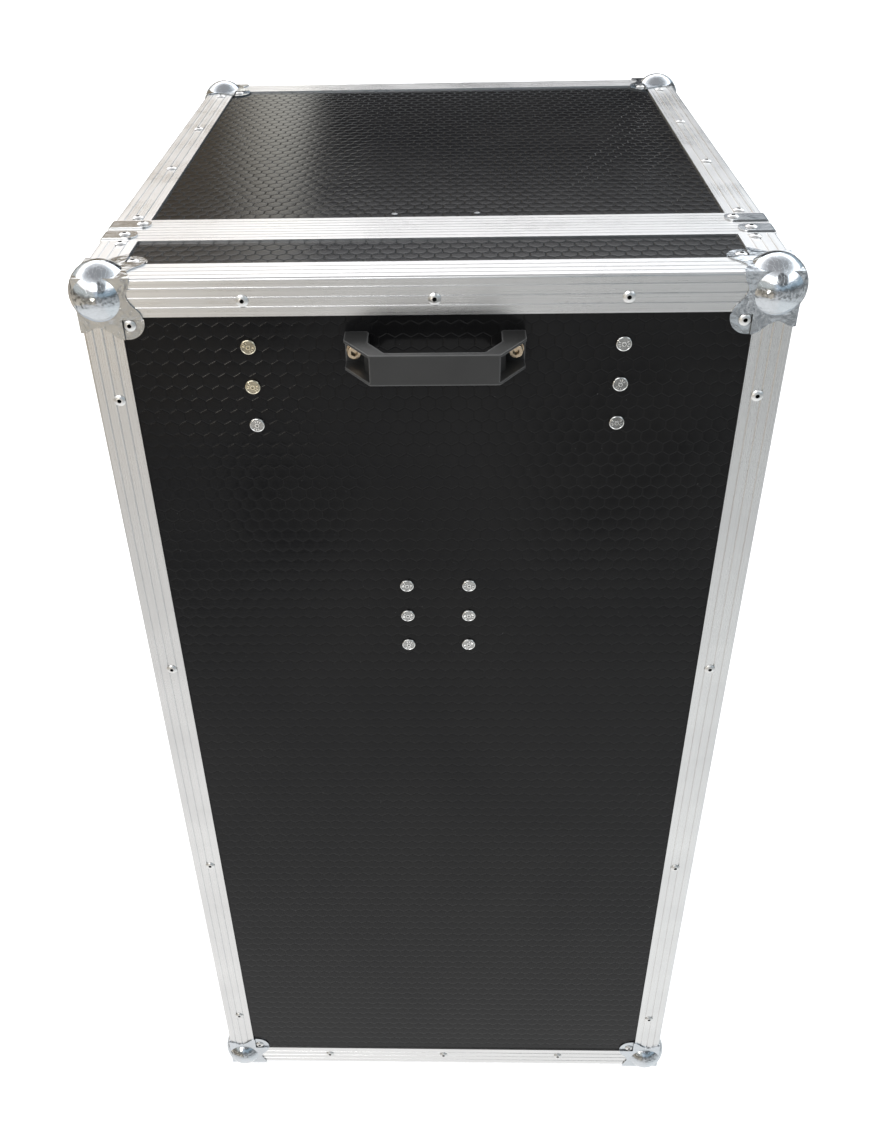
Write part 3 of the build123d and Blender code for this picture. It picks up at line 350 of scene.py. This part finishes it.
MATS = {
    "ply_front": hex_ply("ply_front", 0, 2, relief=0.00011),
    "ply_top": hex_ply("ply_top", 0, 1, relief=0.00052, gloss=(0.08, 0.12), dome=0.07),
    "ply_side": hex_ply("ply_side", 1, 2, relief=0.00024),
    "alu_x": aluminium("alu_x", ALONG_X),
    "alu_y": aluminium("alu_y", ALONG_Y),
    "alu_z": aluminium("alu_z", ALONG_Z),
    "ball": plated(
        "ball_plate", (0.66, 0.69, 0.72), 0.09, 0.17,
        wave=0.0013, grime=0.35, scale=1.0, hollow=0.0045,
    ).mat,
    "zinc": plated(
        "zinc_plate", (0.74, 0.755, 0.77), 0.10, 0.20,
        wave=0.00015, grime=0.35, scale=2.0,
    ).mat,
    "rivet": plated(
        "rivet_steel", (0.88, 0.875, 0.86), 0.30, 0.40,
        wave=0.00004, grime=0.20, scale=4.0, hollow=0.004,
    ).mat,
    "bolt": stamped("bolt_zinc"),
    "screw": plated(
        "screw_warm", (0.62, 0.50, 0.36), 0.14, 0.26,
        wave=0.00006, grime=0.30, scale=4.0,
    ).mat,
    "rail": painted(
        "rail_coat", (0.020, 0.020, 0.022), 0.38, 0.50,
        grain=900.0, depth=0.00006, chips=0.15, bare=(0.10, 0.10, 0.10),
    ),
    "grip": painted(
        "grip_coat", (0.021, 0.021, 0.0205), 0.34, 0.44,
        grain=1100.0, depth=0.00005, chips=0.25, bare=(0.12, 0.12, 0.12),
    ),
    "rubber": rubber("rubber_black"),
    "foam": foam("foam_dark"),
}

LOOKS = {
    "ply_front": ["cover_front_panel", "body_back_panel"],
    "ply_top": ["body_top_panel", "body_bottom_panel", "cover_top_wall", "cover_bottom_wall"],
    "ply_side": ["body_left_panel", "body_right_panel", "cover_left_wall", "cover_right_wall"],
    "alu_x": [
        "cover_angles_horizontal", "back_angles_horizontal",
        "cover_rim_horizontal", "body_rim_horizontal",
    ],
    "alu_y": ["cover_corner_angles", "body_side_angles"],
    "alu_z": [
        "cover_angles_vertical", "back_angles_vertical",
        "cover_rim_vertical", "body_rim_vertical",
    ],
    "ball": ["cover_ball_corners", "body_ball_corners"],
    "zinc": [
        "body_straps", "cover_straps", "top_cleat", "backing_strips", "cover_nuts",
        "rack_rail_screws", "cleat_screws", "foot_screws",
        "latch_dishes", "keeper_dishes", "handle_dishes",
    ],
    "rivet": ["body_rivets", "cover_rivets"],
    "bolt": ["cover_bolts"],
    "screw": ["handle_screws"],
    "rail": [
        "rack_rail_front_left", "rack_rail_front_right",
        "rack_rail_rear_left", "rack_rail_rear_right",
    ],
    "grip": ["cover_handle"],
    "rubber": ["rubber_feet"],
}
for site in SITES:
    LOOKS["zinc"] += ["latch_turn_" + site, "latch_wing_" + site, "latch_hook_" + site]
    LOOKS["ball"].append("handle_bail_" + site)

for look, names in LOOKS.items():
    for name in names:
        mesh = NODES[name].data
        mesh.materials.clear()
        mesh.materials.append(MATS[look])


# ---------------------------------------------------------------- foam lining
# cut-outs as centre x, centre z, half width, half height, round the bolts, strips and screws
FOAM_HOLES = [
    (-0.1415, 0.9615, 0.014, 0.051), (0.1415, 0.9615, 0.014, 0.051),
    (-0.027, 0.73475, 0.014, 0.051), (0.027, 0.73475, 0.014, 0.051),
    (-0.0602, 0.9945, 0.011, 0.011), (0.0602, 0.9945, 0.011, 0.011),
]
FOAM_POCKETS = [(x, z, 0.006, 0.006) for x in (-0.2286, 0.2286) for z in (0.0524, 1.0136)]
POCKET_DEEP = 0.0014        # the rivet tails in the pockets stand 0.0013 past the glued face
SHOULDER = 0.0050           # how far in from an edge the foam is rounded
SHOULDER_DROP = 0.8         # how far it falls there, as a share of that
PULL_IN = 0.0012            # how far a long side draws in at its middle
EDGE_SINK = 0.0005          # the shown face dips towards every edge
EDGE_SINK_REACH = 0.03
UNEVEN = 0.00018            # waves of the shown face
INSETS = (0.0, 0.0009, 0.0022, 0.0045)
GRID_GAP = 0.016
CLOSEST = 0.0003            # marks nearer than this are one grid line


def cut_lines(lo, hi, spans):
    """Grid lines from lo to hi, close together beside every edge and no further apart than GRID_GAP."""
    marks = {lo + d for d in INSETS} | {hi - d for d in INSETS}
    for centre, half in spans:
        marks |= {centre - half - d for d in INSETS} | {centre + half + d for d in INSETS}
    marks = sorted(round(m, 6) for m in marks if lo <= m <= hi)
    lines = [marks[0]]
    for mark in marks[1:]:
        if mark - lines[-1] < CLOSEST:
            continue
        steps = math.ceil((mark - lines[-1]) / GRID_GAP)
        start = lines[-1]
        lines += [start + (mark - start) * k / steps for k in range(1, steps + 1)]
    return lines


def outside(x, z, hole):
    """How far a point is from a rectangular cut-out, 0 inside it."""
    cx, cz, hx, hz = hole
    return math.hypot(max(abs(x - cx) - hx, 0.0), max(abs(z - cz) - hz, 0.0))


def build_foam():
    """The cover's foam sheet: flat where it is glued, soft shoulders round its edges and cut-outs."""
    (x0, y0, z0), (x1, y1, z1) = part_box("cover_foam")
    cuts = FOAM_HOLES + FOAM_POCKETS
    xs = cut_lines(x0, x1, [(h[0], h[2]) for h in cuts])
    zs = cut_lines(z0, z1, [(h[1], h[3]) for h in cuts])
    thick = y1 - y0
    bm = bmesh.new()
    glued, shown = {}, {}
    for i, x in enumerate(xs):
        for k, z in enumerate(zs):
            rim = min(x - x0, x1 - x, z - z0, z1 - z)
            near = min([rim] + [outside(x, z, hole) for hole in FOAM_HOLES])
            fall = min(1.0, max(0.0, 1.0 - near / SHOULDER))
            deep = thick - SHOULDER * SHOULDER_DROP * (1.0 - math.sqrt(1.0 - fall * fall))
            deep -= EDGE_SINK * math.exp(-near / EDGE_SINK_REACH)
            wave = math.sin(41.0 * x + 3.0 * math.sin(17.0 * z)) * math.sin(33.0 * z)
            deep -= UNEVEN * (1.0 + wave)
            along_x = (x - x0) / (x1 - x0)
            along_z = (z - z0) / (z1 - z0)
            ease = max(0.0, 1.0 - rim / SHOULDER)
            nearer_x = min(x - x0, x1 - x) <= min(z - z0, z1 - z)
            pull = PULL_IN * ease * math.sin(math.pi * (along_z if nearer_x else along_x))
            sx = x + (math.copysign(pull, (x0 + x1) / 2 - x) if nearer_x else 0.0)
            sz = z + (0.0 if nearer_x else math.copysign(pull, (z0 + z1) / 2 - z))
            sunk = POCKET_DEEP if any(outside(x, z, p) == 0.0 for p in FOAM_POCKETS) else 0.0
            glued[i, k] = bm.verts.new((x, y0 + sunk, z))
            shown[i, k] = bm.verts.new((sx, y0 + deep, sz))
    cells = set()
    for i in range(len(xs) - 1):
        for k in range(len(zs) - 1):
            mx, mz = (xs[i] + xs[i + 1]) / 2, (zs[k] + zs[k + 1]) / 2
            if all(outside(mx, mz, hole) > 0.0 for hole in FOAM_HOLES):
                cells.add((i, k))
    for i, k in cells:
        ring = [(i, k), (i + 1, k), (i + 1, k + 1), (i, k + 1)]
        bm.faces.new([glued[c] for c in ring])
        bm.faces.new([shown[c] for c in reversed(ring)])
        for a, b, beyond in (
            (ring[0], ring[1], (i, k - 1)), (ring[1], ring[2], (i + 1, k)),
            (ring[2], ring[3], (i, k + 1)), (ring[3], ring[0], (i - 1, k)),
        ):
            if beyond not in cells:
                bm.faces.new([glued[b], glued[a], shown[a], shown[b]])
    bmesh.ops.delete(bm, geom=[v for v in bm.verts if not v.link_faces], context="VERTS")
    bmesh.ops.recalc_face_normals(bm, faces=bm.faces)
    mesh = bpy.data.meshes.new("foam_sheet")
    bm.to_mesh(mesh)
    bm.free()
    mesh.shade_smooth()
    mesh.materials.append(MATS["foam"])
    sheet = bpy.data.objects.new("foam_sheet", mesh)
    bpy.context.scene.collection.objects.link(sheet)
    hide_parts("cover_foam")
    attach(sheet, "front_cover")


build_foam()


# ---------------------------------------------------------------- studio
def area_light(name, place, aim, size, power, colour=(1, 1, 1)):
    """A soft square light aimed at a point, hidden from the camera."""
    data = bpy.data.lights.new(name, "AREA")
    data.shape = "RECTANGLE"
    data.size = size
    data.size_y = size
    data.energy = power
    data.color = colour
    lamp = bpy.data.objects.new(name, data)
    bpy.context.scene.collection.objects.link(lamp)
    lamp.location = place
    lamp.rotation_euler = (Vector(aim) - Vector(place)).to_track_quat("-Z", "Y").to_euler()
    lamp.visible_camera = False
    return lamp


# height of the direction looked along, from straight down to straight up, and the light there
WORLD_RAMP = [
    (-1.00, (1.02, 1.02, 1.02)),
    (-0.78, (0.98, 0.98, 0.98)),
    (-0.50, (0.84, 0.84, 0.84)),
    (-0.20, (0.58, 0.58, 0.58)),
    (0.00, (0.14, 0.14, 0.145)),
    (0.12, (0.03, 0.03, 0.032)),
    (0.29, (0.05, 0.05, 0.053)),
    (0.335, (0.46, 0.46, 0.48)),
    (0.39, (1.75, 1.75, 1.79)),
    (0.50, (2.65, 2.65, 2.70)),
    (0.60, (2.45, 2.45, 2.50)),
    (0.76, (0.95, 0.95, 0.97)),
    (0.90, (0.46, 0.46, 0.47)),
    (1.00, (0.40, 0.40, 0.41)),
]
WORLD_PEAK = 2.8


def lit(r, g, b):
    """A colour of the room, divided by WORLD_PEAK, which the background's strength puts back."""
    return rgb(r / WORLD_PEAK, g / WORLD_PEAK, b / WORLD_PEAK)


# Each pair below is where a part of the room starts and where it is full, or the other way round.
# The back wall's are in degrees round from straight back, leaning with height.
WALL_LEAN = 11.0
STRIP = lit(1.45, 1.45, 1.38)
STRIP_LEFT = (-9.6, -6.0)
STRIP_RIGHT = (-4.7, -4.2)
WALL = lit(0.235, 0.200, 0.150)
WALL_RIGHT = (-8.5, -4.5)
FAR_LEFT = lit(0.62, 0.72, 0.84)
FAR_LEFT_SIDE = (-30.0, -17.0)
FAR_RIGHT = lit(0.42, 0.52, 0.60)
FAR_RIGHT_SIDE = (16.0, 34.0)
# these are parts of the direction looked along, z for heights and x for sides
WALL_FOOT = (-0.1, 0.1)
WALL_TOP = (0.30, 0.36)
CLUTTER_FOOT = (-0.66, -0.54)
CLUTTER_TOP = (0.02, 0.12)
CLUTTER_SCALE = 8.5
SHADE = rgb(0.03, 0.03, 0.03)
WARM = rgb(1.0, 0.89, 0.74)
WARM_SIDE = (-0.26, -0.10)
WARM_FOOT = (-0.49, -0.45)
WARM_TOP = (0.30, 0.50)
COOL = rgb(0.95, 0.985, 1.0)
COOL_SIDE = (0.08, 0.28)
STAND = Vector((0.22, -0.80, 0.56)).normalized()
STAND_EDGE = (0.89, 0.965)      # cosines of the dark place's outer and inner radius
STAND_DARK = rgb(0.02, 0.02, 0.02)


class WorldGraph(Graph):
    """The same short calls for the world's tree."""

    def __init__(self, name):
        self.world = bpy.data.worlds.new(name)
        self.world.use_nodes = True
        self.tree = self.world.node_tree
        self.tree.nodes.clear()


def build_world():
    """A made-up room for reflections: pale below, dark at the horizon, bright above and dimmer
    straight up, with one lit strip behind. The camera sees plain white instead.
    """
    g = WorldGraph("studio_world")
    new = g.tree.nodes.new
    ray = new("ShaderNodeTexCoord").outputs["Generated"]
    x, y, z = g.axes(ray)
    ramp = new("ShaderNodeValToRGB")
    stops = ramp.color_ramp.elements
    while len(stops) < len(WORLD_RAMP):
        stops.new(0.5)
    for stop, (height, colour) in zip(stops, WORLD_RAMP):
        stop.position = (height + 1.0) / 2.0
        stop.color = lit(*colour)
    g.link(g.math("MULTIPLY_ADD", z, 0.5, 0.5), ramp.inputs[0])

    # lit strip on the back wall, soft on its left and crisp on its right
    turn = g.math("MULTIPLY", g.math("ARCTAN2", x, y), 180.0 / math.pi)
    lean = g.math("MULTIPLY_ADD", z, WALL_LEAN, turn)
    left = g.span(lean, *STRIP_LEFT, smooth=True)
    right = g.span(lean, *STRIP_RIGHT, 1.0, 0.0, smooth=True)
    top = g.span(z, *WALL_TOP, 1.0, 0.0, smooth=True)
    foot = g.span(z, *WALL_FOOT, smooth=True)
    belt = g.math("MULTIPLY", top, foot)
    strip = g.math("MULTIPLY", g.math("MULTIPLY", left, right), belt)
    room = g.mix(strip, ramp.outputs[0], STRIP)

    # the wall to the left of it, and what lies beyond on either side
    wall = g.math("MULTIPLY", g.span(lean, *WALL_RIGHT, 1.0, 0.0), belt)
    side = g.mix(g.span(lean, *FAR_LEFT_SIDE, 1.0, 0.0), WALL, FAR_LEFT)
    room = g.mix(g.math("MULTIPLY", wall, g.math("SUBTRACT", 1.0, strip)), room, side)
    room = g.mix(g.math("MULTIPLY", g.span(lean, *FAR_RIGHT_SIDE), belt), room, FAR_RIGHT)

    # furniture in the low front of the room: only a polished surface shows it
    low = g.math("MULTIPLY", g.span(z, *CLUTTER_FOOT), g.span(z, *CLUTTER_TOP, 1.0, 0.0))
    clutter = g.span(g.noise(ray, CLUTTER_SCALE, 2.0, 0.55), 0.42, 0.58, smooth=True)
    clutter = g.math("MULTIPLY", g.span(clutter, 0.0, 1.0, 0.9, -0.5), low)
    room = g.mix(clutter, room, SHADE)

    # the dark place from which the case is looked at
    stand = new("ShaderNodeVectorMath")
    stand.operation = "DOT_PRODUCT"
    g.link(ray, stand.inputs[0])
    stand.inputs[1].default_value = STAND
    near = g.span(stand.outputs["Value"], *STAND_EDGE, 0.0, 0.92, smooth=True)
    room = g.mix(near, room, STAND_DARK)

    # a warm left, a cool right
    warm = g.math("MULTIPLY", g.span(x, *WARM_SIDE, 1.0, 0.0), g.span(z, *WARM_FOOT))
    warm = g.math("MULTIPLY", warm, g.span(z, *WARM_TOP, 1.0, 0.0))
    tint = g.mix(warm, rgb(1.0, 1.0, 1.0), WARM)
    tint = g.mix(g.span(x, *COOL_SIDE), tint, COOL)
    room = g.mix(1.0, room, tint, "MULTIPLY")

    background = new("ShaderNodeBackground")
    g.link(room, background.inputs[0])
    background.inputs[1].default_value = WORLD_PEAK
    # what is seen directly beyond the floor is plain white
    plain = new("ShaderNodeBackground")
    plain.inputs[0].default_value = rgb(1.0, 1.0, 1.0)
    seen = new("ShaderNodeMixShader")
    g.link(new("ShaderNodeLightPath").outputs["Is Camera Ray"], seen.inputs[0])
    g.link(background.outputs[0], seen.inputs[1])
    g.link(plain.outputs[0], seen.inputs[2])
    out = new("ShaderNodeOutputWorld")
    g.link(seen.outputs[0], out.inputs[0])
    bpy.context.scene.world = g.world


FLOOR_REACH = 14.0


def build_floor():
    """A plain white floor. The case's polish reflects the room and not this floor."""
    mesh = bpy.data.meshes.new("studio_floor")
    far = FLOOR_REACH
    corners = [(-far, -far, 0), (far, -far, 0), (far, far, 0), (-far, far, 0)]
    mesh.from_pydata(corners, [], [(0, 1, 2, 3)])
    floor = bpy.data.objects.new("studio_floor", mesh)
    bpy.context.scene.collection.objects.link(floor)
    g = Graph("floor_paint")
    tone = g.noise(g.coords(), 1.5, 3.0, 0.5)
    g.set(
        Base_Color=g.mix(tone, rgb(0.88, 0.88, 0.88), rgb(0.91, 0.91, 0.91)),
        Roughness=0.8,
        Specular_IOR_Level=0.1,
        Emission_Color=rgb(1.0, 1.0, 1.0),
        Emission_Strength=0.45,
    )
    mesh.materials.append(g.mat)
    floor.visible_glossy = False


def build_lights():
    """Two large soft lamps and a small warm one. Polish doesn't show the overhead lamp."""
    overhead = area_light("overhead_soft", (0.2, 0.3, 3.6), (0, 0.2, 0.9), size=2.6, power=60.0)
    overhead.visible_glossy = False
    area_light("front_soft", (-1.0, -3.4, 3.2), (0, 0, 0.7), size=1.6, power=26.0)
    area_light(
        "left_lamp", (-1.10, -2.5, 0.72), (-0.05, -0.3, 0.85),
        size=0.30, power=3.2, colour=(1.0, 0.93, 0.82),
    )


# ---------------------------------------------------------------- camera
# fitted to the case's own edges; the frame's long side and the focal length are in pixels
FRAME_LONG = 1140.0
FOCAL_PX = 1108.39
SENSOR_MM = 36.0
CAMERA_SHIFT = (0.0211, -0.0255)
CAMERA_PLACE = (0.01068, -1.05192, 1.35198)
PITCH = math.radians(34.894)
YAW = math.radians(-2.0885)
ROLL = math.radians(1.4179)


def build_camera():
    """The photograph's viewpoint, from the case's own edges."""
    data = bpy.data.cameras.new("photo_camera")
    data.sensor_fit = "AUTO"
    data.sensor_width = SENSOR_MM
    data.lens = FOCAL_PX / FRAME_LONG * SENSOR_MM
    data.shift_x, data.shift_y = CAMERA_SHIFT
    data.clip_start = 0.01
    data.clip_end = 100.0
    camera = bpy.data.objects.new("photo_camera", data)
    bpy.context.scene.collection.objects.link(camera)
    ahead = Vector(
        (math.sin(YAW) * math.cos(PITCH), math.cos(YAW) * math.cos(PITCH), -math.sin(PITCH))
    )
    right = Vector((math.cos(YAW), -math.sin(YAW), 0.0))
    down = ahead.cross(right)
    level_right = right * math.cos(ROLL) + down * math.sin(ROLL)
    level_down = down * math.cos(ROLL) - right * math.sin(ROLL)
    turn = Matrix((level_right, -level_down, -ahead)).transposed().to_4x4()
    camera.matrix_world = Matrix.Translation(CAMERA_PLACE) @ turn
    bpy.context.scene.camera = camera


build_camera()
build_world()
build_floor()
build_lights()
# plain sRGB tone curve, so that black stays black and white stays white
bpy.context.scene.view_settings.view_transform = "Standard"
